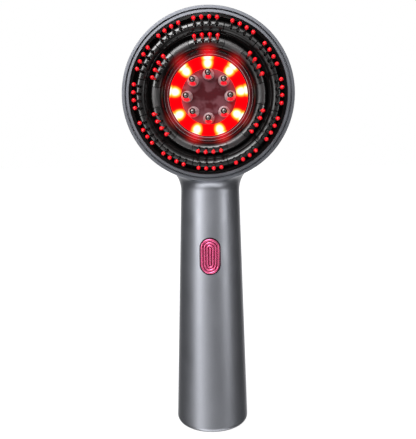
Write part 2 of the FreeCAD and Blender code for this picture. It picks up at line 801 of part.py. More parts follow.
def head_carrier():
    """Ring plate behind the comb head that carries the light board and takes the head screws."""
    outer = drum_inner - chassis_clearance
    flange_inner = outer - chassis_flange_width
    carrier = ring([(chassis_hole, -chassis_back), (outer, -chassis_back),
                    (outer, -rib_back), (flange_inner, -rib_back),
                    (flange_inner, -chassis_front), (chassis_hole, -chassis_front)])
    for x, y in head_screw_places():
        end = Vec(x, y, -head_post_depth)
        carrier = carrier.fuse(Part.makeCylinder(post_radius, head_post_depth - chassis_back, end))
        carrier = carrier.cut(Part.makeCylinder(screw_radius + screw_hole_clearance, screw_bite + 1, end))
    drop = led_circle_radius + led_size
    for x in (-lead_spread, lead_spread):
        behind = Vec(x, -drop, -2 * chassis_back)
        carrier = carrier.cut(Part.makeCylinder(lead_slot_width / 2, 2 * chassis_back, behind))
    save("head_chassis", on_head(carrier))


def button():
    """Power button with concentric ridges on its face, and the flange that keeps it in the handle."""
    cap = stadium(button_width, button_length, button_height, button_face, flange_front)
    rim = [edge for edge in cap.Edges if edge.BoundBox.YMax < button_face + 1e-3]
    cap = cap.makeFillet(button_edge, rim)
    pitch = button_width / 2 / (button_ridges + 0.5)
    floor = button_face + button_groove_depth

    def button_prism(inset, front, back):
        return stadium(button_width - 2 * inset, button_length - 2 * inset, button_height, front, back)

    for index in range(button_ridges):
        outer = pitch * (index + 1) - button_groove_width / 2
        groove = button_prism(outer, button_face - 1, floor)
        cap = cap.cut(groove.cut(button_prism(outer + button_groove_width, button_face - 1, floor)))
    flange = button_prism(-button_flange_width, flange_front, flange_back)
    save("power_button", cap.fuse(flange).Solids[0])


def board_screw_places():
    """Centres of the four screws of the main board, as (x, z)."""
    x_far = board_width / 2 - board_screw_margin / 2
    heights = (board_bottom + board_screw_margin, board_top - board_screw_margin)
    return [(x, z) for x in (-x_far, x_far) for z in heights]


def lead_heights():
    """Heights at which the leads of cell, motor and light cross through the spine to the main board."""
    return {"battery": cell_top + cell_nub_height + lead_drop,
            "motor": motor_bottom - lead_drop,
            "led": weight_top + lead_drop / 2}


def board():
    """Main board with its switch under the button and its four screws."""
    plate = block(board_width / 2, board_face, board_rear, board_bottom, board_top)
    screws = []
    hole = board_screw_radius + screw_hole_clearance
    for x, z in board_screw_places():
        plate = plate.cut(rod_along_y(hole, x, z, board_face - 1, board_rear + 1))
        shank = rod_along_y(board_screw_radius, x, z, board_face, spine_front)
        head = rod_along_y(board_screw_head, x, z, board_face - board_screw_head_height, board_face)
        screws.append(shank.fuse(head))
    save("main_board", plate)
    save("board_screws", Part.makeCompound(screws))
    half = switch_size / 2
    switch = block(half, switch_front, board_face, button_height - half, button_height + half)
    plunger = rod_along_y(plunger_radius, 0, button_height, plunger_front, switch_front)
    save("tact_switch", switch.fuse(plunger))


def spine():
    """Spine of the handle: a plate shaped to the hollow, with board posts and saddles."""
    plate = block(handle_foot_radius, spine_front, spine_back, spine_bottom, spine_top)
    plate = plate.common(cone_between(spine_bottom, spine_top, wall + spine_clearance))
    for height in lead_heights().values():
        slot = block(lead_spread + lead_slot_width / 2, spine_front - 1, spine_back + 1,
                     height - lead_slot_width / 2, height + lead_slot_width / 2)
        plate = plate.cut(slot)
    board_hole = board_screw_radius + screw_hole_clearance
    for x, z in board_screw_places():
        plate = plate.fuse(rod_along_y(board_post_radius, x, z, board_rear, spine_front))
        plate = plate.cut(rod_along_y(board_hole, x, z, board_rear - 1, spine_front))
    post_hole = screw_radius + screw_hole_clearance
    for height in spine_screw_heights:
        plate = plate.fuse(rod_along_y(spine_post_radius, 0, height, spine_back, spine_post_end))
        hole_start = spine_post_end - screw_bite - 1
        plate = plate.cut(rod_along_y(post_hole, 0, height, hole_start, spine_post_end))
    cell_base = Vec(0, cell_centre, cell_bottom)
    cell_hollow = Part.makeCylinder(cell_radius + saddle_clearance, cell_length, cell_base)
    for low in (cell_bottom + saddle_inset, cell_top - saddle_inset - saddle_length):
        saddle = block(saddle_width / 2, spine_back, spine_back + saddle_reach, low, low + saddle_length)
        plate = plate.fuse(saddle.cut(cell_hollow))
    motor_base = Vec(0, motor_centre, motor_bottom)
    motor_hollow = Part.makeCylinder(motor_radius + saddle_clearance, motor_length, motor_base)
    cradle = block(motor_saddle_width / 2, spine_back, motor_centre,
                   motor_bottom + motor_saddle_margin, motor_top - motor_saddle_margin)
    save("handle_chassis", plate.fuse(cradle.cut(motor_hollow)).Solids[0])

    cell = Part.makeCylinder(cell_radius, cell_length, cell_base)
    rims = [edge for edge in cell.Edges if edge.BoundBox.ZLength < 1e-3]
    cell = cell.makeFillet(cell_edge, rims)
    nub = Part.makeCylinder(cell_nub_radius, cell_nub_height, Vec(0, cell_centre, cell_top))
    save("battery_cell", cell.fuse(nub))


def drive():
    """Vibration motor: the can, the strap that holds it in its cradle, and the rotor with its weight."""
    at = Vec(0, motor_centre, 0)
    can = disc(motor_radius, motor_bottom, motor_top)
    can = can.fuse(disc(motor_boss_radius, motor_top, motor_top + motor_boss_height))
    shaft_low = motor_top - motor_bore_depth
    can = can.cut(disc(shaft_radius + shaft_clearance, shaft_low - weight_gap, motor_top + motor_length))
    save("motor_can", can.translated(at))

    strap_low = motor_bottom + (motor_length - strap_length) / 2
    strap = tube(motor_radius + strap_thickness, motor_radius + saddle_clearance,
                 strap_low, strap_low + strap_length)
    strap = strap.common(block(2 * motor_radius, 0, 2 * motor_radius, motor_bottom, motor_top))
    save("motor_strap", strap.translated(at))

    weight = disc(weight_radius, weight_bottom, weight_top)
    weight = weight.common(block(weight_radius, 0, weight_radius, weight_bottom, weight_top))
    weight = weight.fuse([disc(weight_hub_radius, weight_bottom, weight_top),
                          disc(shaft_radius, shaft_low, weight_top)])
    save("eccentric_weight", weight.Solids[0].translated(at))


def lead(points):
    """Insulated lead along straight runs joined by round bends as large as the shorter run allows."""
    corners = [Vec(*point) for point in points]
    edges = []
    start = corners[0]
    for before, corner, after in zip(corners, corners[1:], corners[2:]):
        into = (before - corner).normalize()
        out = (after - corner).normalize()
        reach = 0.45 * min((before - corner).Length, (after - corner).Length)
        half = into.getAngle(out) / 2
        inward = (into + out).normalize()
        middle = corner + inward * (reach / math.cos(half) - reach * math.tan(half))
        bend_start = corner + into * reach
        bend_end = corner + out * reach
        edges.append(Part.LineSegment(start, bend_start).toShape())
        edges.append(Part.Arc(bend_start, middle, bend_end).toShape())
        start = bend_end
    edges.append(Part.LineSegment(start, corners[-1]).toShape())
    section = Part.Wire(Part.makeCircle(lead_radius, corners[0], corners[1] - corners[0]))
    return Part.Wire(edges).makePipeShell([section], True, False)


def leads():
    """Pairs of leads from the cell, the motor and the light board to the back of the main board."""
    heights = lead_heights()
    drop = head_height - led_circle_radius - led_size
    light_back = chassis_front - head_front
    behind = light_back + chassis_plate_thickness + lead_slot_width
    starts = {
        "battery": [(cell_centre, cell_top), (cell_centre, heights["battery"])],
        "motor": [(motor_centre, motor_bottom), (motor_centre, heights["motor"])],
        "led": [(light_back, drop), (behind, drop), (behind, heights["led"])],
    }
    for name, start in starts.items():
        route = start + [(board_rear, heights[name])]
        pair = [lead([(x, y, z) for y, z in route]) for x in (-lead_spread, lead_spread)]
        save(name + "_leads", Part.makeCompound(pair))


os.makedirs("parts", exist_ok=True)
casing()
housing_screws()
foot()
comb_ring()
comb()
light()
nozzles()
head_carrier()
button()
board()
spine()
drive()
leads()
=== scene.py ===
"""Looks of the scalp massager: finishes, ridged button cap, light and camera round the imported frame."""
import math

import bmesh
import bpy
import numpy as np
from mathutils import Matrix, Vector


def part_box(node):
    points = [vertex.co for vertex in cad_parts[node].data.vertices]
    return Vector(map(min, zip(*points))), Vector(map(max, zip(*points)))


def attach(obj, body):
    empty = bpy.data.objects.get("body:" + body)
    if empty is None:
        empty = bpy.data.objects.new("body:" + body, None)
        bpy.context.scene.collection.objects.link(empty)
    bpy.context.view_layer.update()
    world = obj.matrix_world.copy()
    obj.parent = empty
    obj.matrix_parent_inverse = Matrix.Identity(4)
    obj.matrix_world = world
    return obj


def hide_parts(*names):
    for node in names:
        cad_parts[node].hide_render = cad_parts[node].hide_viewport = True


bl_info = {
    "name": "Scalp massager",
    "version": (1, 0, 0),
    "blender": (4, 5, 0),
    "location": "3D View > Sidebar > Massager",
    "description": "Dresses the packed scalp massager with its finishes and sets up the studio",
    "category": "Object",
}

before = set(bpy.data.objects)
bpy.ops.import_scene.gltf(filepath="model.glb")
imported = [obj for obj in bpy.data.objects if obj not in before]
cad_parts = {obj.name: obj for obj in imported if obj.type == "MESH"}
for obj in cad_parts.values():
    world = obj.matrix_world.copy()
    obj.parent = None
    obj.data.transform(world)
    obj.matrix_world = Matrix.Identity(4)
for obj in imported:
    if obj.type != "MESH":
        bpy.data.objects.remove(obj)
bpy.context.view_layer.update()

MM = 0.001
WHITE = (1.0, 1.0, 1.0, 1.0)
# Nearly all values of a noise texture lie in this span
NOISE_LOW, NOISE_HIGH = 0.3, 0.7
NOISE_SPAN = {"From Min": NOISE_LOW, "From Max": NOISE_HIGH}

# Places and sizes taken from the frame
HEAD_LOW, HEAD_HIGH = (Vector(corner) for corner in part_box("comb_bezel"))
HEAD_CENTRE = (HEAD_LOW + HEAD_HIGH) / 2
RIM_FRONT = HEAD_LOW.y
BUTTON_LOW, BUTTON_HIGH = (Vector(corner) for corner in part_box("power_button"))

# The handle is a cone, thickest at the foot
HANDLE_LENGTH = 133.0 * MM
HANDLE_FOOT_RADIUS = 19.35 * MM
HANDLE_NECK_RADIUS = 15.15 * MM
# A corner is on the cone when it lies this near to it and the cosine between both normals is over this
CONE_REACH = 0.02 * MM
CONE_LEAN = 0.8
# A darker copy of the lacquer, as painted shade, covers the rim to this depth from the front
RIM_SHADE_DEPTH = 0.7 * MM

# The flange of the button stays behind the casing
FLANGE_WIDTH = 1.2 * MM
FLANGE_THICKNESS = 1.0 * MM
# Fineness of the button's mesh: rows over its rounded rim and over each ridge, columns round each end
RIM_ROWS = 9
RIDGE_ROWS = 14
END_COLUMNS = 33
MERGE_DISTANCE = 0.001 * MM
SHARP_ANGLE = math.radians(50)

# The clear plate carries a ring of equal nozzles, inside the lit ring with its chips and its stepped collar
NOZZLE_COUNT = 8
NOZZLE_CIRCLE = 10.8 * MM
PLATE_RADIUS = 13.8 * MM
PLATE_FRONT = -10.5 * MM
LIGHT_COUNT = 9
LIGHT_RADIUS = 19.5 * MM
COLLAR_STEP = 0.83 * MM
# Radius of the two rings of rails, Y of their crests, and how much of a rail's top is satin with painted
# sheen
INNER_RAIL, INNER_CREST = 26.0 * MM, -17.2 * MM
OUTER_RAIL, OUTER_CREST = 33.4 * MM, -19.4 * MM
TRAY_SATIN_AND_SHEEN = 1.0
ROW_SATIN_AND_SHEEN = 0.2

# Brightness of the studio by compass direction in degrees: 0 is towards the camera, minus is left
BEHIND_LEFT = ((-180, 1.0), (-152, 1.0), (-140, 0.1), (-62, 0.1))
BEHIND_RIGHT = ((140, 0.08), (152, 1.0), (180, 1.0))
TABLE = (*BEHIND_LEFT, (-60, 1.0), (-54, 6.0), (-36, 6.0), (-28, 2.5), (0, 2.0), (36, 2.5), (42, 5.0),
         (54, 5.0), (60, 0.5), *BEHIND_RIGHT)
LOW = (*BEHIND_LEFT, (-53, 0.2), (-47, 2.2), (-37, 2.2), (-31, 1.1), (-10, 0.7), (0, 0.4), (36, 0.15),
       (50, 0.1), *BEHIND_RIGHT)
MIDDLE = (*BEHIND_LEFT, (-58, 0.2), (-52, 4.2), (-37, 4.2), (-31, 1.0), (-10, 0.4), (0, 0.2), (44, 0.3),
          (50, 7.0), (61, 7.0), (65, 0.1), *BEHIND_RIGHT)
HIGH = (*BEHIND_LEFT, (-58, 0.2), (-52, 7.0), (-38, 7.0), (-32, 0.3), (0, 0.05), (42, 0.1), (48, 2.8),
        (61, 2.8), (65, 0.1), *BEHIND_RIGHT)
OVERHEAD = (*BEHIND_LEFT, (-55, 2.0), (-25, 2.6), (0, 2.2), (40, 1.0), (70, 0.3), *BEHIND_RIGHT)
# Heights between which one of these gives way to the next, as the upward part of a direction one unit long
TABLE_TO_LOW = (-0.84, -0.6)
LOW_TO_MIDDLE = (-0.28, -0.05)
MIDDLE_TO_HIGH = (-0.02, 0.05)
HIGH_TO_OVERHEAD = (0.25, 0.4)
FLOOR_REACH = 3.0
# The soft box on the comb: its place seen from the middle of the head, its width and its height
HEAD_LIGHT_PLACE = Vector((-0.10, -0.235, 0.17))
HEAD_LIGHT_WIDTH = 0.24
HEAD_LIGHT_HEIGHT = 0.16
CAMERA_PLACE = Vector((8.0, -309.1, 153.1)) * MM
CAMERA_PITCH = math.radians(7.72)
CAMERA_YAW = math.radians(1.73)
CAMERA_ROLL = math.radians(0.66)
CAMERA_NEAR = 10 * MM
SENSOR_HEIGHT = 36.0


def linear(code):
    """Turns an sRGB hex colour into linear RGBA."""
    channels = [int(code[i:i + 2], 16) / 255 for i in (1, 3, 5)]
    flat = [c / 12.92 if c <= 0.04045 else ((c + 0.055) / 1.055) ** 2.4 for c in channels]
    return (*flat, 1.0)


def shade(colour, share):
    """The same colour with a share of its brightness."""
    return (*(channel * share for channel in colour[:3]), 1.0)


def add_node(tree, kind, values=None, links=None, stops=(), **settings):
    """Adds one node.

    Settings are its properties, values its inputs, links the sockets that it takes in and stops those of its
    colour ramp.
    """
    node = tree.nodes.new(kind)
    for name, value in settings.items():
        setattr(node, name, value)
    for name, value in (values or {}).items():
        node.inputs[name].default_value = value
    for name, socket in (links or {}).items():
        tree.links.new(socket, node.inputs[name])
    for extra in range(len(stops) - 2):
        node.color_ramp.elements.new(0.5)
    for index, (position, colour) in enumerate(stops):
        node.color_ramp.elements[index].position = position
        node.color_ramp.elements[index].color = colour
    return node


def new_material(name):
    """Empty material with the object's own coordinates ready to read."""
    material = bpy.data.materials.new(name)
    material.use_nodes = True
    tree = material.node_tree
    tree.nodes.clear()
    place = add_node(tree, "ShaderNodeTexCoord").outputs["Object"]
    return material, tree, place


def close_material(tree, shader):
    """Joins a shader to the material's output."""
    add_node(tree, "ShaderNodeOutputMaterial", links={"Surface": shader.outputs[0]})


def round_the_head(tree, place, aside=0.0, above=0.0):
    """Angle round the head's axis, from the top in radians, and distance from it in metres, as sockets."""
    centre = (HEAD_CENTRE.x + aside, 0, HEAD_CENTRE.z + above)
    spot = add_node(tree, "ShaderNodeVectorMath", {1: centre}, {0: place}, operation="SUBTRACT")
    parts = add_node(tree, "ShaderNodeSeparateXYZ", links={"Vector": spot.outputs[0]})
    angle = add_node(tree, "ShaderNodeMath", links={0: parts.outputs["X"], 1: parts.outputs["Z"]},
                     operation="ARCTAN2")
    flat = add_node(tree, "ShaderNodeVectorMath", {1: (1, 0, 1)}, {0: spot.outputs[0]}, operation="MULTIPLY")
    radius = add_node(tree, "ShaderNodeVectorMath", links={0: flat.outputs[0]}, operation="LENGTH")
    return angle.outputs[0], radius.outputs["Value"]


def satin_metallic_lacquer(name, colour):
    """Metallic lacquer sprayed on ABS and left satin: soft wide reflections with a faint sparkle of flake.

    Real flake is about 0.03 mm, too fine to show, so it is drawn larger.
    """
    flake_size = 0.25 * MM
    cloud_size = 9.0 * MM
    material, tree, place = new_material(name)
    flake = add_node(tree, "ShaderNodeTexNoise", {"Scale": 1 / flake_size, "Detail": 1.0}, {"Vector": place})
    cloud = add_node(tree, "ShaderNodeTexNoise", {"Scale": 1 / cloud_size, "Detail": 2.0}, {"Vector": place})
    tone = add_node(tree, "ShaderNodeValToRGB", links={"Fac": flake.outputs["Fac"]},
                    stops=((NOISE_LOW, shade(colour, 0.93)), (NOISE_HIGH, shade(colour, 1.0))))
    rough = add_node(tree, "ShaderNodeMapRange", {**NOISE_SPAN, "To Min": 0.4, "To Max": 0.46},
                     {"Value": cloud.outputs["Fac"]})
    bump = add_node(tree, "ShaderNodeBump", {"Strength": 0.01, "Distance": 0.02 * MM},
                    {"Height": flake.outputs["Fac"]})
    shader = add_node(tree, "ShaderNodeBsdfPrincipled",
                      {"Metallic": 0.95, "Coat Weight": 0.12, "Coat Roughness": 0.3},
                      {"Base Color": tone.outputs["Color"], "Roughness": rough.outputs["Result"],
                       "Normal": bump.outputs["Normal"]})
    close_material(tree, shader)
    return material


def painted_chip_light(tree, angle):
    """Painted red light thrown outwards by the chips, as a socket, most above and below the ring.

    With a the angle round the axis and n the number of chips it is (cos^2(na / 2) cos a)^2.
    """
    turn = add_node(tree, "ShaderNodeMath", {1: LIGHT_COUNT / 2}, {0: angle}, operation="MULTIPLY")
    beat = add_node(tree, "ShaderNodeMath", links={0: turn.outputs[0]}, operation="COSINE")
    upright = add_node(tree, "ShaderNodeMath", links={0: angle}, operation="COSINE")
    patch = add_node(tree, "ShaderNodeMath", links={0: beat.outputs[0], 1: beat.outputs[0]},
                     operation="MULTIPLY")
    share = add_node(tree, "ShaderNodeMath", links={0: patch.outputs[0], 1: upright.outputs[0]},
                     operation="MULTIPLY")
    both = add_node(tree, "ShaderNodeMath", links={0: share.outputs[0], 1: share.outputs[0]},
                    operation="MULTIPLY")
    return both.outputs[0]


def moulded_black_abs(name, colour, rail, crest, satin):
    """Black ABS from a polished mould: deep black with hard highlights, slightly wavy as moulded skins are.

    A rail is given by its radius and the Y of its crest. The satin share is that of an etching on its top,
    rougher, and painted dark grey as a painted sheen, which stops short of the bristles. The rail shines
    round its crest, further on the outer side, and little elsewhere. Painted red light, an emission standing
    for the lit ring's light, lies on the slope next to it in front of the chips, fading out with the
    distance.
    """
    wave_size = 6.0 * MM
    speck_size = 0.8 * MM
    etched_roughness = 0.2
    shine_reach = 4.0 * MM
    dull, shiny = shade(WHITE, 0.1), shade(WHITE, 0.5)
    glow_start, glow_end = LIGHT_RADIUS + 2.0 * MM, LIGHT_RADIUS + 6.5 * MM
    material, tree, place = new_material(name)
    angle, radius = round_the_head(tree, place)
    wave = add_node(tree, "ShaderNodeTexNoise", {"Scale": 1 / wave_size, "Detail": 2.0}, {"Vector": place})
    speck = add_node(tree, "ShaderNodeTexNoise", {"Scale": 1 / speck_size, "Detail": 2.0}, {"Vector": place})
    beside = add_node(tree, "ShaderNodeMath", {1: rail}, {0: radius}, operation="SUBTRACT")
    apart = add_node(tree, "ShaderNodeMath", links={0: beside.outputs[0]}, operation="ABSOLUTE")
    top = add_node(tree, "ShaderNodeMapRange", {"From Min": 2.0 * MM, "From Max": 1.4 * MM, "To Max": satin},
                   {"Value": apart.outputs[0]})
    parts = add_node(tree, "ShaderNodeSeparateXYZ", links={"Vector": place})
    skin = add_node(tree, "ShaderNodeMapRange", {"From Min": crest - 0.4 * MM, "From Max": crest - 0.1 * MM},
                    {"Value": parts.outputs["Y"]})
    etched_and_sheen = add_node(tree, "ShaderNodeMath", links={0: top.outputs["Result"], 1: skin.outputs["Result"]},
                      operation="MULTIPLY")
    plain = add_node(tree, "ShaderNodeValToRGB", links={"Fac": wave.outputs["Fac"]},
                     stops=((NOISE_LOW, shade(colour, 0.5)), (NOISE_HIGH, shade(colour, 1.0))))
    # Painted sheen: the rail's top goes over from black to this paler grey
    tone = add_node(tree, "ShaderNodeMix", {"B": linear("#1f1d1e")},
                    {"Factor": etched_and_sheen.outputs[0], "A": plain.outputs["Color"]}, data_type="RGBA")
    gloss = add_node(tree, "ShaderNodeMapRange", {**NOISE_SPAN, "To Min": 0.14, "To Max": 0.2},
                     {"Value": speck.outputs["Fac"]})
    rough = add_node(tree, "ShaderNodeMath", {1: etched_roughness},
                     {0: etched_and_sheen.outputs[0], 2: gloss.outputs["Result"]}, operation="MULTIPLY_ADD")
    bump = add_node(tree, "ShaderNodeBump", {"Strength": 0.05, "Distance": 0.05 * MM},
                    {"Height": wave.outputs["Fac"]})
    across = add_node(tree, "ShaderNodeMapRange", {"From Min": -shine_reach, "From Max": shine_reach},
                      {"Value": beside.outputs[0]})
    shine = add_node(tree, "ShaderNodeValToRGB", links={"Fac": across.outputs["Result"]},
                     stops=((0.32, dull), (0.4, shiny), (0.76, shiny), (0.84, dull)))
    # Painted red light: emission in the chips' pattern, fading out away from the lit ring
    fade = add_node(tree, "ShaderNodeMapRange",
                    {"From Min": glow_start, "From Max": glow_end, "To Min": 0.6, "To Max": 0.0},
                    {"Value": radius}, interpolation_type="SMOOTHSTEP")
    glow = add_node(tree, "ShaderNodeMath", links={0: painted_chip_light(tree, angle), 1: fade.outputs["Result"]},
                    operation="MULTIPLY")
    shader = add_node(tree, "ShaderNodeBsdfPrincipled", {"IOR": 1.75, "Emission Color": linear("#ff0206")},
                      {"Base Color": tone.outputs["Result"], "Roughness": rough.outputs[0],
                       "Specular IOR Level": shine.outputs["Color"],
                       "Normal": bump.outputs["Normal"], "Emission Strength": glow.outputs[0]})
    close_material(tree, shader)
    return material


def moulded_red_nylon(colour):
    """Moulded translucent red nylon: vivid, a painted glow for light sinking in, and one small bright
    highlight.
    """
    tint_size = 1.2 * MM
    material, tree, place = new_material("moulded_red_nylon")
    tint = add_node(tree, "ShaderNodeTexNoise", {"Scale": 1 / tint_size, "Detail": 2.0}, {"Vector": place})
    tone = add_node(tree, "ShaderNodeValToRGB", links={"Fac": tint.outputs["Fac"]},
                    stops=((NOISE_LOW, shade(colour, 0.88)), (NOISE_HIGH, shade(colour, 1.0))))
    # Painted glow: a faint red emission stands in for light sinking into the tips, which are no lamp
    shader = add_node(tree, "ShaderNodeBsdfPrincipled",
                      {"Roughness": 0.2, "IOR": 1.4, "Emission Color": shade(colour, 1.0),
                       "Emission Strength": 0.16},
                      {"Base Color": tone.outputs["Color"]})
    close_material(tree, shader)
    return material


def lit_red_diffuser():
    """Moulded diffuser over red chips: even red, and before each chip a white-hot patch with a yellow edge.

    With a the angle round the axis and n the number of chips, wave = (1 + cos na) / 2. A patch is a core in
    the middle of the ring, a power of wave times a bell curve of the distance from that middle, and a flare
    along the outer edge, another power of wave.
    """
    core_power, flare_power = 2.4, 2.5
    bell_width = 2.7 * MM
    middle = (PLATE_RADIUS + LIGHT_RADIUS) / 2
    flare_start, flare_end = LIGHT_RADIUS - 2.0 * MM, LIGHT_RADIUS - 0.7 * MM
    material, tree, place = new_material("lit_red_diffuser")
    angle, radius = round_the_head(tree, place, aside=-0.3 * MM, above=-0.5 * MM)
    turn = add_node(tree, "ShaderNodeMath", {1: LIGHT_COUNT}, {0: angle}, operation="MULTIPLY")
    beat = add_node(tree, "ShaderNodeMath", links={0: turn.outputs[0]}, operation="COSINE")
    wave = add_node(tree, "ShaderNodeMapRange", {"From Min": -1.0, "From Max": 1.0},
                    {"Value": beat.outputs[0]})
    core = add_node(tree, "ShaderNodeMath", {1: core_power}, {0: wave.outputs["Result"]}, operation="POWER")
    flare = add_node(tree, "ShaderNodeMath", {1: flare_power}, {0: wave.outputs["Result"]},
                     operation="POWER")
    away = add_node(tree, "ShaderNodeMath", {1: middle}, {0: radius}, operation="SUBTRACT")
    bell = add_node(tree, "ShaderNodeMath", {1: 1 / bell_width}, {0: away.outputs[0]}, operation="MULTIPLY")
    steep = add_node(tree, "ShaderNodeMath", links={0: bell.outputs[0], 1: bell.outputs[0]},
                     operation="MULTIPLY")
    inner = add_node(tree, "ShaderNodeMath", {0: math.exp(-1)}, {1: steep.outputs[0]}, operation="POWER")
    outer = add_node(tree, "ShaderNodeMapRange",
                     {"From Min": flare_start, "From Max": flare_end, "To Max": 0.9}, {"Value": radius})
    near = add_node(tree, "ShaderNodeMath", links={0: core.outputs[0], 1: inner.outputs[0]},
                    operation="MULTIPLY")
    far = add_node(tree, "ShaderNodeMath", links={0: flare.outputs[0], 1: outer.outputs["Result"]},
                   operation="MULTIPLY")
    hot = add_node(tree, "ShaderNodeMath", links={0: near.outputs[0], 1: far.outputs[0]},
                   operation="MAXIMUM")
    tone = add_node(tree, "ShaderNodeValToRGB", links={"Fac": hot.outputs[0]},
                    stops=((0.0, linear("#ff0106")), (0.16, linear("#ff0c0a")), (0.34, linear("#ff9a20")),
                           (0.52, linear("#ffe878")), (0.72, linear("#fffef0"))))
    power = add_node(tree, "ShaderNodeMapRange",
                     {"From Min": 0.1, "From Max": 0.35, "To Min": 2.4, "To Max": 1.2},
                     {"Value": hot.outputs[0]})
    glow = add_node(tree, "ShaderNodeEmission",
                    links={"Color": tone.outputs["Color"], "Strength": power.outputs["Result"]})
    close_material(tree, glow)
    return material


def tinted_red_polycarbonate():
    """Clear red-tinted polycarbonate: hard gloss, painted highlights on its steps, painted red light near
    the ring.
    """
    tint_size = 5.0 * MM
    highlight_edge, highlight_core = 0.2 * MM, 0.1 * MM
    glow_reach = 2.3 * MM
    chip_share = 0.7
    material, tree, place = new_material("tinted_red_polycarbonate")
    angle, radius = round_the_head(tree, place)
    tint = add_node(tree, "ShaderNodeTexNoise", {"Scale": 1 / tint_size, "Detail": 2.0}, {"Vector": place})
    deep = add_node(tree, "ShaderNodeValToRGB", links={"Fac": tint.outputs["Fac"]},
                    stops=((NOISE_LOW, linear("#220a0b")), (NOISE_HIGH, linear("#3a1416"))))
    # Painted highlights: pale lines on the edges of the collar's steps
    out = add_node(tree, "ShaderNodeMath", {1: LIGHT_RADIUS + COLLAR_STEP}, {0: radius},
                   operation="SUBTRACT")
    step = add_node(tree, "ShaderNodeMath", {1: COLLAR_STEP}, {0: out.outputs[0]}, operation="PINGPONG")
    line = add_node(tree, "ShaderNodeMapRange", {"From Min": highlight_edge, "From Max": highlight_core},
                    {"Value": step.outputs[0]})
    tone = add_node(tree, "ShaderNodeMix", {"B": linear("#8a7678")},
                    {"Factor": line.outputs["Result"], "A": deep.outputs["Color"]}, data_type="RGBA")
    # Painted red light: emission, strongest next to the lit ring and in front of the chips
    rest = add_node(tree, "ShaderNodeMapRange",
                    {"From Min": LIGHT_RADIUS, "From Max": LIGHT_RADIUS + glow_reach, "To Min": 0.12,
                     "To Max": 0.0},
                    {"Value": radius})
    glow = add_node(tree, "ShaderNodeMath", {1: chip_share},
                    {0: painted_chip_light(tree, angle), 2: rest.outputs["Result"]}, operation="MULTIPLY_ADD")
    shader = add_node(tree, "ShaderNodeBsdfPrincipled",
                      {"Roughness": 0.14, "IOR": 1.58, "Emission Color": linear("#ff1020")},
                      {"Base Color": tone.outputs["Result"], "Emission Strength": glow.outputs[0]})
    close_material(tree, shader)
    return material


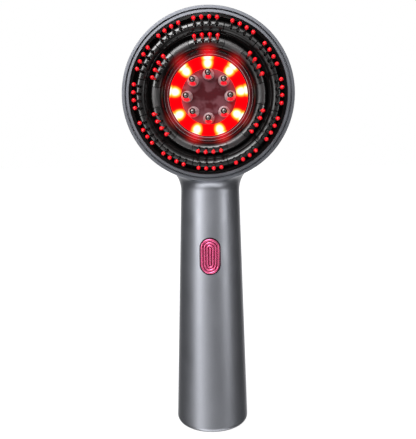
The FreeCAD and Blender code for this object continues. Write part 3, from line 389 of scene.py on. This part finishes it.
def clear_moulded_acrylic():
    """Clear acrylic over the dark oil space: pinkish grey with darker clouds, painted red light towards the
    edge.

    The cones of the nozzles stand in front of the plate and catch the light whitish. Their lower sides are
    painted red with a red emission, painted light for the ring's light showing through: with (x, z) the
    place from the axis of the nearest nozzle, where -z / sqrt(x^2 + z^2) is large.
    """
    nozzle_turn = 2 * math.pi / NOZZLE_COUNT
    red_edge, red_core = 2.7 * MM, 2.2 * MM
    cloud_size = 6.0 * MM
    edge_width = 4.5 * MM
    painted_red_strength = 0.9
    centre = (HEAD_CENTRE.x, 0, HEAD_CENTRE.z)
    material, tree, place = new_material("clear_moulded_acrylic")
    angle, radius = round_the_head(tree, place)
    share = add_node(tree, "ShaderNodeMath", {1: 1 / nozzle_turn}, {0: angle}, operation="MULTIPLY")
    number = add_node(tree, "ShaderNodeMath", links={0: share.outputs[0]}, operation="ROUND")
    turn = add_node(tree, "ShaderNodeMath", {1: nozzle_turn}, {0: number.outputs[0]}, operation="MULTIPLY")
    across = add_node(tree, "ShaderNodeMath", links={0: turn.outputs[0]}, operation="SINE")
    upward = add_node(tree, "ShaderNodeMath", links={0: turn.outputs[0]}, operation="COSINE")
    axis = add_node(tree, "ShaderNodeCombineXYZ", links={"X": across.outputs[0], "Z": upward.outputs[0]})
    spot = add_node(tree, "ShaderNodeVectorMath", {1: centre}, {0: place}, operation="SUBTRACT")
    flat = add_node(tree, "ShaderNodeVectorMath", {1: (1, 0, 1)}, {0: spot.outputs[0]}, operation="MULTIPLY")
    foot = add_node(tree, "ShaderNodeVectorMath", {"Scale": -NOZZLE_CIRCLE}, {0: axis.outputs[0]},
                    operation="SCALE")
    local = add_node(tree, "ShaderNodeVectorMath", links={0: flat.outputs[0], 1: foot.outputs[0]},
                     operation="ADD")
    towards = add_node(tree, "ShaderNodeVectorMath", links={0: local.outputs[0]}, operation="NORMALIZE")
    sides = add_node(tree, "ShaderNodeSeparateXYZ", links={"Vector": towards.outputs[0]})
    lower = add_node(tree, "ShaderNodeMapRange", {"From Min": -0.55, "From Max": -0.85},
                     {"Value": sides.outputs["Z"]})
    far = add_node(tree, "ShaderNodeVectorMath", links={0: local.outputs[0]}, operation="LENGTH")
    close = add_node(tree, "ShaderNodeMapRange", {"From Min": red_edge, "From Max": red_core},
                     {"Value": far.outputs["Value"]})
    painted_red_side = add_node(tree, "ShaderNodeMath", links={0: lower.outputs["Result"], 1: close.outputs["Result"]},
                     operation="MULTIPLY")
    parts = add_node(tree, "ShaderNodeSeparateXYZ", links={"Vector": place})
    raised = add_node(tree, "ShaderNodeMapRange",
                      {"From Min": PLATE_FRONT - 0.05 * MM, "From Max": PLATE_FRONT - 0.25 * MM},
                      {"Value": parts.outputs["Y"]})
    cloud = add_node(tree, "ShaderNodeTexNoise", {"Scale": 1 / cloud_size, "Detail": 2.0}, {"Vector": place})
    plate = add_node(tree, "ShaderNodeValToRGB", links={"Fac": cloud.outputs["Fac"]},
                     stops=((0.42, linear("#4a161c")), (0.53, linear("#663c42"))))
    # Painted red light on the lower sides of the cones, in their colour and as emission
    cone = add_node(tree, "ShaderNodeValToRGB", links={"Fac": painted_red_side.outputs[0]},
                    stops=((0.0, linear("#d2bcbe")), (1.0, linear("#d00c20"))))
    tone = add_node(tree, "ShaderNodeMix", data_type="RGBA",
                    links={"Factor": raised.outputs["Result"], "A": plate.outputs["Color"],
                           "B": cone.outputs["Color"]})
    # Painted red light: emission growing towards the plate's edge
    edge = add_node(tree, "ShaderNodeMapRange",
                    {"From Min": PLATE_RADIUS - edge_width, "From Max": PLATE_RADIUS, "To Max": 0.3},
                    {"Value": radius})
    lit = add_node(tree, "ShaderNodeMath", {1: painted_red_strength}, {0: painted_red_side.outputs[0]}, operation="MULTIPLY")
    glow = add_node(tree, "ShaderNodeMix",
                    links={"Factor": raised.outputs["Result"], "A": edge.outputs["Result"],
                           "B": lit.outputs[0]})
    shader = add_node(tree, "ShaderNodeBsdfPrincipled",
                      {"Roughness": 0.18, "IOR": 1.49, "Emission Color": linear("#ff1026")},
                      {"Base Color": tone.outputs["Result"], "Emission Strength": glow.outputs["Result"]})
    close_material(tree, shader)
    return material


def polished_bearing_steel():
    """Hardened steel lapped to a mirror: dark with small sharp highlights and very fine polishing marks."""
    mark_size = 0.3 * MM
    material, tree, place = new_material("polished_bearing_steel")
    mark = add_node(tree, "ShaderNodeTexNoise", {"Scale": 1 / mark_size, "Detail": 2.0}, {"Vector": place})
    rough = add_node(tree, "ShaderNodeMapRange", {**NOISE_SPAN, "To Min": 0.08, "To Max": 0.16},
                     {"Value": mark.outputs["Fac"]})
    shader = add_node(tree, "ShaderNodeBsdfPrincipled", {"Metallic": 1.0, "Base Color": linear("#625a58")},
                      {"Roughness": rough.outputs["Result"]})
    close_material(tree, shader)
    return material


def fuchsia_metallic_lacquer(colour):
    """Metallic fuchsia lacquer under a clear coat: bright ridges, small highlights, painted shade in the
    grooves.

    Real flake is about 0.03 mm, too fine to show, so it is drawn larger.
    """
    flake_size = 0.2 * MM
    groove_shade_start, groove_shade_end = BUTTON_LOW.y + 0.1 * MM, BUTTON_LOW.y + 0.45 * MM
    material, tree, place = new_material("fuchsia_metallic_lacquer")
    flake = add_node(tree, "ShaderNodeTexNoise", {"Scale": 1 / flake_size, "Detail": 1.0}, {"Vector": place})
    tone = add_node(tree, "ShaderNodeValToRGB", links={"Fac": flake.outputs["Fac"]},
                    stops=((NOISE_LOW, shade(colour, 0.82)), (NOISE_HIGH, shade(colour, 1.0))))
    parts = add_node(tree, "ShaderNodeSeparateXYZ", links={"Vector": place})
    # Painted shade: the colour darkens with depth into the grooves
    deep = add_node(tree, "ShaderNodeMapRange",
                    {"From Min": groove_shade_start, "From Max": groove_shade_end, "To Max": 0.65},
                    {"Value": parts.outputs["Y"]})
    paint = add_node(tree, "ShaderNodeMix", {"B": shade(colour, 0.15)},
                     {"Factor": deep.outputs["Result"], "A": tone.outputs["Color"]}, data_type="RGBA")
    rough = add_node(tree, "ShaderNodeMapRange", {**NOISE_SPAN, "To Min": 0.14, "To Max": 0.2},
                     {"Value": flake.outputs["Fac"]})
    shader = add_node(tree, "ShaderNodeBsdfPrincipled",
                      {"Metallic": 0.75, "Coat Weight": 1.0, "Coat Roughness": 0.04},
                      {"Base Color": paint.outputs["Result"], "Roughness": rough.outputs["Result"]})
    close_material(tree, shader)
    return material


def hidden_finish(name, dark, light, blotch, roughness, metallic=0.0):
    """Finish of a piece inside the casing: two close colours in blotches, in mm, rougher where paler."""
    spread = 0.05
    material, tree, place = new_material(name)
    tint = add_node(tree, "ShaderNodeTexNoise", {"Scale": 1 / (blotch * MM), "Detail": 2.0},
                    {"Vector": place})
    tone = add_node(tree, "ShaderNodeValToRGB", links={"Fac": tint.outputs["Fac"]},
                    stops=((NOISE_LOW, linear(dark)), (NOISE_HIGH, linear(light))))
    rough = add_node(tree, "ShaderNodeMapRange",
                     {**NOISE_SPAN, "To Min": roughness - spread, "To Max": roughness + spread},
                     {"Value": tint.outputs["Fac"]})
    shader = add_node(tree, "ShaderNodeBsdfPrincipled", {"Metallic": metallic},
                      {"Base Color": tone.outputs["Color"], "Roughness": rough.outputs["Result"]})
    close_material(tree, shader)
    return material


def white_paper():
    """Matt paper: white to the camera, mid grey to everything else, so that it throws little light up."""
    fibre_size = 0.5 * MM
    material, tree, place = new_material("white_paper")
    fibre = add_node(tree, "ShaderNodeTexNoise", {"Scale": 1 / fibre_size, "Detail": 2.0}, {"Vector": place})
    tone = add_node(tree, "ShaderNodeValToRGB", links={"Fac": fibre.outputs["Fac"]},
                    stops=((NOISE_LOW, linear("#8c8c8c")), (NOISE_HIGH, linear("#949494"))))
    paper = add_node(tree, "ShaderNodeBsdfDiffuse", links={"Color": tone.outputs["Color"]})
    path = add_node(tree, "ShaderNodeLightPath")
    seen = add_node(tree, "ShaderNodeMath", operation="MAXIMUM",
                    links={0: path.outputs["Is Camera Ray"], 1: path.outputs["Is Transmission Ray"]})
    bright = add_node(tree, "ShaderNodeEmission", {"Strength": 0.9})
    both = add_node(tree, "ShaderNodeAddShader", links={0: paper.outputs[0], 1: bright.outputs[0]})
    shader = add_node(tree, "ShaderNodeMixShader",
                      links={"Fac": seen.outputs[0], 1: paper.outputs[0], 2: both.outputs[0]})
    close_material(tree, shader)
    return material


def dress(material, nodes):
    """Gives CAD nodes one material."""
    for name in nodes:
        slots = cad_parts[name].data.materials
        slots.clear()
        slots.append(material)


def nodes_starting(*starts):
    """Names of the CAD nodes that begin with any of the given words."""
    return [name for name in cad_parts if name.startswith(starts)]


def add_piece(mesh, name, node, body, slot, *materials):
    """New piece that stands for a CAD node and rides on a body."""
    piece = bpy.data.objects.new(name, mesh)
    bpy.context.collection.objects.link(piece)
    for material in materials:
        mesh.materials.append(material)
    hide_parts(node)
    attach(piece, body)


def housing_copy(node):
    """Copy of a housing, its doubles merged, that is shaded by the true normals of the handle's cone.

    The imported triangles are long, and their normals lean beside the button's opening. At a point (x, y) of
    the cone, r from its axis, the normal is (x / r, y / r, taper) made one unit long. Corners elsewhere keep
    their own.
    """
    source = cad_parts[node].data
    points = np.empty(len(source.vertices) * 3, np.float32)
    source.vertices.foreach_get("co", points)
    points = points.reshape(-1, 3)
    corners = np.empty(len(source.loops), np.int32)
    source.loops.foreach_get("vertex_index", corners)
    normals = np.empty(len(source.loops) * 3, np.float32)
    source.corner_normals.foreach_get("vector", normals)
    normals = normals.reshape(-1, 3)
    place = points[corners]
    radius = np.maximum(np.hypot(place[:, 0], place[:, 1]), MM)
    taper = (HANDLE_FOOT_RADIUS - HANDLE_NECK_RADIUS) / HANDLE_LENGTH
    cone = np.column_stack([place[:, 0] / radius, place[:, 1] / radius, np.full(len(radius), taper)])
    cone /= np.linalg.norm(cone, axis=1, keepdims=True)
    on_cone = np.abs(radius + taper * place[:, 2] - HANDLE_FOOT_RADIUS) < CONE_REACH
    on_cone &= (normals * cone).sum(axis=1) > CONE_LEAN
    normals = np.where(on_cone[:, None], cone, normals)
    merged, which = np.unique(points.round(7), axis=0, return_inverse=True)
    mesh = bpy.data.meshes.new(node + "_shell")
    mesh.from_pydata(merged.tolist(), [], which.reshape(-1)[corners].reshape(-1, 3).tolist())
    mesh.polygons.foreach_set("use_smooth", np.ones(len(mesh.polygons), bool))
    mesh.normals_split_custom_set(normals.tolist())
    return mesh


def button_profile(look, half_width):
    """Rows of the button from the middle of its back to that of its face: distance in from its edge, and Y.

    The flange steps out behind the casing. The rim of the cap is a quarter of an ellipse up to the first
    crest. From there the face is Y = crest + depth (1 - |cos(pi (d - p / 2) / p)|), with d the distance in
    and p the pitch of the ridges. So round crests lie half a pitch in from the edge and in the middle, with
    sharp grooves between them.
    """
    crest, back = BUTTON_LOW.y, BUTTON_HIGH.y
    pitch = half_width / (look.ridge_count + 0.5)
    quarter = np.linspace(0, math.pi / 2, RIM_ROWS)
    rim = np.column_stack([pitch / 2 * (1 - np.cos(quarter)),
                           crest + look.rim_height * (1 - np.sin(quarter))])
    inward = np.linspace(pitch / 2, half_width, RIDGE_ROWS * look.ridge_count + 1)[1:]
    face = crest + look.ridge_depth * (1 - np.abs(np.cos(math.pi * (inward - pitch / 2) / pitch)))
    flange = np.array([(half_width, back), (-FLANGE_WIDTH, back), (-FLANGE_WIDTH, back - FLANGE_THICKNESS),
                       (0, back - FLANGE_THICKNESS)])
    return np.vstack([flange, rim, np.column_stack([inward, face])])


def stadium_surface(name, profile, half_width, half_length, centre):
    """Closed mesh of a profile carried round a stadium, two half circles joined by straight sides.

    A row that lies d in from the edge runs at half_width - d from the middle line. So the last rows close on
    that line.
    """
    turn = np.linspace(0, math.pi, END_COLUMNS)
    along = np.concatenate([turn, turn + math.pi])
    end = np.where(np.arange(len(along)) < len(turn), 1, -1) * (half_length - half_width)
    reach = (half_width - profile[:, 0])[:, None]
    x = centre.x + reach * np.cos(along)
    z = centre.z + end + reach * np.sin(along)
    y = np.broadcast_to(profile[:, 1][:, None], x.shape)
    grid = np.stack([x, y, z], axis=-1)
    rows, columns = x.shape
    index = np.arange(rows * columns).reshape(rows, columns)
    around = np.roll(index, -1, axis=1)
    quads = np.stack([index[:-1], around[:-1], around[1:], index[1:]], axis=-1).reshape(-1, 4)
    mesh = bpy.data.meshes.new(name)
    mesh.from_pydata(grid.reshape(-1, 3).tolist(), [], quads.tolist())
    work = bmesh.new()
    work.from_mesh(mesh)
    bmesh.ops.remove_doubles(work, verts=work.verts, dist=MERGE_DISTANCE)
    bmesh.ops.recalc_face_normals(work, faces=work.faces)
    work.to_mesh(mesh)
    work.free()
    mesh.polygons.foreach_set("use_smooth", np.ones(len(mesh.polygons), bool))
    mesh.set_sharp_from_angle(angle=SHARP_ANGLE)
    return mesh


def colour_setting(name, description, code):
    """Colour that a user can change, given as an sRGB hex code."""
    return bpy.props.FloatVectorProperty(name=name, description=description, subtype="COLOR", size=4, min=0,
                                         max=1, default=linear(code))


class MassagerLook(bpy.types.PropertyGroup):
    """Sizes, colours and strengths that a user would change."""
    casing_colour: colour_setting("Casing", "Lacquer of the housings", "#9a9ca3")
    # A darker copy of the casing's lacquer, as painted shade on the rim
    rim_shade_colour: colour_setting("Rim", "Darker lacquer of the rim round the comb", "#6e7076")
    comb_colour: colour_setting("Comb", "Plastic of the tray and the bristles", "#0d0b0b")
    tip_colour: colour_setting("Tips", "Plastic of the bristle tips", "#ec0016")
    button_colour: colour_setting("Button", "Lacquer of the power button", "#df5084")
    ridge_count: bpy.props.IntProperty(
        name="Ridges", description="Grooves between the edge and the middle of the button",
        default=3, min=1, max=8)
    ridge_depth: bpy.props.FloatProperty(
        name="Ridge depth", description="Depth of the grooves in the button", unit="LENGTH", precision=5,
        default=0.5 * MM, min=0.0, max=0.8 * MM)
    rim_height: bpy.props.FloatProperty(
        name="Rim height", description="Height over which the edge of the button is rounded", unit="LENGTH",
        precision=5, default=0.6 * MM, min=0.05 * MM, max=1.0 * MM)
    head_light: bpy.props.FloatProperty(
        name="Head light", description="Power of the soft light on the comb", unit="POWER",
        default=0.9, min=0.0)
    lens: bpy.props.FloatProperty(
        name="Lens", description="Focal length on a sensor 36 mm tall", unit="CAMERA",
        default=48.05, min=10.0)


class MASSAGER_OT_casing(bpy.types.Operator):
    """Paints the two housings, the foot plate and the inner rim ring, the rim with a darker copy as painted
    shade
    """
    bl_idname = "massager.casing"
    bl_label = "Casing"

    def execute(self, context):
        look = context.scene.massager
        body = satin_metallic_lacquer("satin_grey_lacquer", look.casing_colour)
        # The rim's front and the inner rim ring get a darker copy of the lacquer, as painted shade
        rim = satin_metallic_lacquer("satin_grey_lacquer_painted_shade", look.rim_shade_colour)
        front = housing_copy("front_housing")
        middles = np.empty(len(front.polygons) * 3, np.float32)
        front.polygons.foreach_get("center", middles)
        rim_shade_faces = middles.reshape(-1, 3)[:, 1] < RIM_FRONT + RIM_SHADE_DEPTH
        front.polygons.foreach_set("material_index", rim_shade_faces.astype(np.int32))
        rear = housing_copy("rear_housing")
        add_piece(front, "front_shell", "front_housing", "housing", "satin_grey_paint", body, rim)
        add_piece(rear, "rear_shell", "rear_housing", "housing", "satin_grey_paint", body)
        dress(body, ["base_cap"])
        dress(rim, ["comb_bezel"])
        return {"FINISHED"}


class MASSAGER_OT_comb(bpy.types.Operator):
    """Finishes the black comb and its red tips, with painted sheen, painted red light and a faint painted
    glow
    """
    bl_idname = "massager.comb"
    bl_label = "Comb"

    def execute(self, context):
        look = context.scene.massager
        black = look.comb_colour
        dress(moulded_black_abs("black_abs_tray", black, INNER_RAIL, INNER_CREST, TRAY_SATIN_AND_SHEEN), ["comb_tray"])
        dress(moulded_black_abs("black_abs_inner_rows", black, INNER_RAIL, INNER_CREST, ROW_SATIN_AND_SHEEN),
              nodes_starting("inner_bristle_row"))
        dress(moulded_black_abs("black_abs_outer_rows", black, OUTER_RAIL, OUTER_CREST, ROW_SATIN_AND_SHEEN),
              nodes_starting("outer_bristle_row"))
        dress(moulded_red_nylon(look.tip_colour), ["outer_bristle_tips", "inner_bristle_tips"])
        return {"FINISHED"}


class MASSAGER_OT_light(bpy.types.Operator):
    """Lights the ring in the middle of the comb and finishes the nozzles inside it, with painted red light
    """
    bl_idname = "massager.light"
    bl_label = "Light and nozzles"

    def execute(self, context):
        dress(lit_red_diffuser(), ["light_guide_ring"])
        dress(tinted_red_polycarbonate(), ["light_collar"])
        dress(clear_moulded_acrylic(), ["nozzle_plate"])
        dress(polished_bearing_steel(), nodes_starting("ball_pin"))
        return {"FINISHED"}


class MASSAGER_OT_button(bpy.types.Operator):
    """Makes the ridged power button"""
    bl_idname = "massager.button"
    bl_label = "Power button"

    def execute(self, context):
        look = context.scene.massager
        size = BUTTON_HIGH - BUTTON_LOW
        centre = (BUTTON_LOW + BUTTON_HIGH) / 2
        half_width = size.x / 2 - FLANGE_WIDTH
        half_length = size.z / 2 - FLANGE_WIDTH
        profile = button_profile(look, half_width)
        mesh = stadium_surface("ridged_button", profile, half_width, half_length, centre)
        add_piece(mesh, "ridged_button", "power_button", "power_button", "fuchsia_paint",
                  fuchsia_metallic_lacquer(look.button_colour))
        return {"FINISHED"}


class MASSAGER_OT_inside(bpy.types.Operator):
    """Finishes the pieces inside the casing"""
    bl_idname = "massager.inside"
    bl_label = "Inside"

    def execute(self, context):
        dress(hidden_finish("zinc_plated_steel", "#8f9092", "#a9aaad", 1.5, 0.35, 1.0),
              ["housing_screws", "board_screws", "pin_springs", "motor_strap", "motor_can", "charge_socket"])
        dress(hidden_finish("moulded_black_carrier", "#1b1b1d", "#262629", 2.0, 0.5),
              ["head_chassis", "handle_chassis", "tact_switch"])
        dress(hidden_finish("frosted_polypropylene", "#c3c6ca", "#d8dbde", 3.0, 0.45),
              ["oil_reservoir", "spring_plate"])
        dress(hidden_finish("moulded_black_silicone", "#141415", "#202022", 1.0, 0.6),
              ["comb_head_seal", "reservoir_plug"])
        dress(hidden_finish("green_solder_mask", "#0c4a26", "#12633a", 2.5, 0.35),
              ["main_board", "charge_board", "led_board"])
        dress(hidden_finish("phosphor_package", "#e8d9c8", "#f4ead8", 0.8, 0.4), ["led_chips"])
        dress(hidden_finish("shrunk_blue_cell_wrap", "#1c4d9c", "#2a62b8", 4.0, 0.3), ["battery_cell"])
        dress(hidden_finish("machined_brass", "#a8823f", "#c29b55", 1.0, 0.3, 1.0), ["eccentric_weight"])
        dress(hidden_finish("red_pvc_insulation", "#8d1414", "#a81c1c", 1.0, 0.45),
              ["battery_leads", "motor_leads", "led_leads"])
        return {"FINISHED"}


class MASSAGER_OT_stage(bpy.types.Operator):
    """Sets up floor, lights, background and camera"""
    bl_idname = "massager.stage"
    bl_label = "Stage"

    def execute(self, context):
        look = context.scene.massager
        context.scene.view_settings.view_transform = "Standard"
        self.floor()
        self.studio(context.scene)
        self.head_light(look.head_light)
        self.camera(context.scene, look.lens)
        return {"FINISHED"}

    def floor(self):
        """Flat sheet under the object, which mirrors in nothing, so that metal shows the studio instead."""
        corners = [(x * FLOOR_REACH, y * FLOOR_REACH, 0) for x, y in ((-1, -1), (1, -1), (1, 1), (-1, 1))]
        mesh = bpy.data.meshes.new("floor")
        mesh.from_pydata(corners, [], [(0, 1, 2, 3)])
        mesh.materials.append(white_paper())
        floor = bpy.data.objects.new("floor", mesh)
        bpy.context.collection.objects.link(floor)
        floor.visible_glossy = False

    def studio(self, scene):
        """Soft boxes and white walls as bands of the world, plain white where the camera sees it."""
        world = bpy.data.worlds.new("studio")
        world.use_nodes = True
        scene.world = world
        tree = world.node_tree
        tree.nodes.clear()
        path = add_node(tree, "ShaderNodeLightPath")
        place = add_node(tree, "ShaderNodeTexCoord")
        direction = add_node(tree, "ShaderNodeSeparateXYZ", links={"Vector": place.outputs["Generated"]})
        front = add_node(tree, "ShaderNodeMath", {1: -1.0}, {0: direction.outputs["Y"]},
                         operation="MULTIPLY")
        azimuth = add_node(tree, "ShaderNodeMath", links={0: direction.outputs["X"], 1: front.outputs[0]},
                           operation="ARCTAN2")
        around = add_node(tree, "ShaderNodeMapRange", {"From Min": -math.pi, "From Max": math.pi},
                          {"Value": azimuth.outputs[0]})
        level = self.bands(tree, around, TABLE)
        for bands, (start, end) in ((LOW, TABLE_TO_LOW), (MIDDLE, LOW_TO_MIDDLE), (HIGH, MIDDLE_TO_HIGH),
                                    (OVERHEAD, HIGH_TO_OVERHEAD)):
            rise = add_node(tree, "ShaderNodeMapRange", {"From Min": start, "From Max": end},
                            {"Value": direction.outputs["Z"]})
            upper = self.bands(tree, around, bands)
            level = add_node(tree, "ShaderNodeMix",
                             links={"Factor": rise.outputs["Result"], "A": level.outputs[0],
                                    "B": upper.outputs[0]})
        seen = add_node(tree, "ShaderNodeMath", operation="MAXIMUM",
                        links={0: path.outputs["Is Camera Ray"], 1: path.outputs["Is Transmission Ray"]})
        shown = add_node(tree, "ShaderNodeMix", {"B": 1.0},
                         {"Factor": seen.outputs[0], "A": level.outputs[0]})
        paint = add_node(tree, "ShaderNodeBackground", {"Color": WHITE}, {"Strength": shown.outputs[0]})
        add_node(tree, "ShaderNodeOutputWorld", links={"Surface": paint.outputs[0]})

    def bands(self, tree, around, levels):
        """Brightness by compass direction, from pairs of degrees and level."""
        top = max(level for degrees, level in levels)
        stops = tuple((degrees / 360 + 0.5, shade(WHITE, level / top)) for degrees, level in levels)
        ramp = add_node(tree, "ShaderNodeValToRGB", links={"Fac": around.outputs["Result"]}, stops=stops)
        return add_node(tree, "ShaderNodeMath", {1: top}, {0: ramp.outputs["Color"]}, operation="MULTIPLY")

    def head_light(self, power):
        """Soft box above and left of the camera, near the comb and aimed at it."""
        lamp = bpy.data.lights.new("head_light", "AREA")
        lamp.shape = "RECTANGLE"
        lamp.size = HEAD_LIGHT_WIDTH
        lamp.size_y = HEAD_LIGHT_HEIGHT
        lamp.energy = power
        box = bpy.data.objects.new("head_light", lamp)
        bpy.context.collection.objects.link(box)
        place = HEAD_CENTRE + HEAD_LIGHT_PLACE
        aim = (HEAD_CENTRE - place).to_track_quat("-Z", "Y")
        box.matrix_world = Matrix.Translation(place) @ aim.to_matrix().to_4x4()

    def camera(self, scene, lens):
        """Camera in front of the head, a little to the right, looking slightly down."""
        level = math.cos(CAMERA_PITCH)
        ahead = Vector((-math.sin(CAMERA_YAW) * level, math.cos(CAMERA_YAW) * level,
                        -math.sin(CAMERA_PITCH)))
        side = ahead.cross(Vector((0, 0, 1))).normalized()
        up = side.cross(ahead)
        right = side * math.cos(CAMERA_ROLL) - up * math.sin(CAMERA_ROLL)
        top = side * math.sin(CAMERA_ROLL) + up * math.cos(CAMERA_ROLL)
        view = bpy.data.cameras.new("camera")
        view.sensor_fit = "VERTICAL"
        view.sensor_height = SENSOR_HEIGHT
        view.lens = lens
        view.clip_start = CAMERA_NEAR
        camera = bpy.data.objects.new("camera", view)
        bpy.context.collection.objects.link(camera)
        turn = Matrix((right, top, -ahead)).transposed()
        camera.matrix_world = Matrix.Translation(CAMERA_PLACE) @ turn.to_4x4()
        scene.camera = camera


class MASSAGER_PT_panel(bpy.types.Panel):
    """Lists the settings and the steps in the sidebar"""
    bl_label = "Massager"
    bl_idname = "MASSAGER_PT_panel"
    bl_space_type = "VIEW_3D"
    bl_region_type = "UI"
    bl_category = "Massager"

    def draw(self, context):
        for name in MassagerLook.__annotations__:
            self.layout.prop(context.scene.massager, name)
        for step in STEPS:
            self.layout.operator(step.bl_idname)


STEPS = (MASSAGER_OT_casing, MASSAGER_OT_comb, MASSAGER_OT_light, MASSAGER_OT_button, MASSAGER_OT_inside,
         MASSAGER_OT_stage)
CLASSES = (MassagerLook, *STEPS, MASSAGER_PT_panel)


def register():
    for item in CLASSES:
        bpy.utils.register_class(item)
    bpy.types.Scene.massager = bpy.props.PointerProperty(type=MassagerLook)


def unregister():
    del bpy.types.Scene.massager
    for item in reversed(CLASSES):
        bpy.utils.unregister_class(item)


def main():
    register()
    bpy.ops.massager.casing()
    bpy.ops.massager.comb()
    bpy.ops.massager.light()
    bpy.ops.massager.button()
    bpy.ops.massager.inside()
    bpy.ops.massager.stage()


if __name__ == "__main__":
    main()
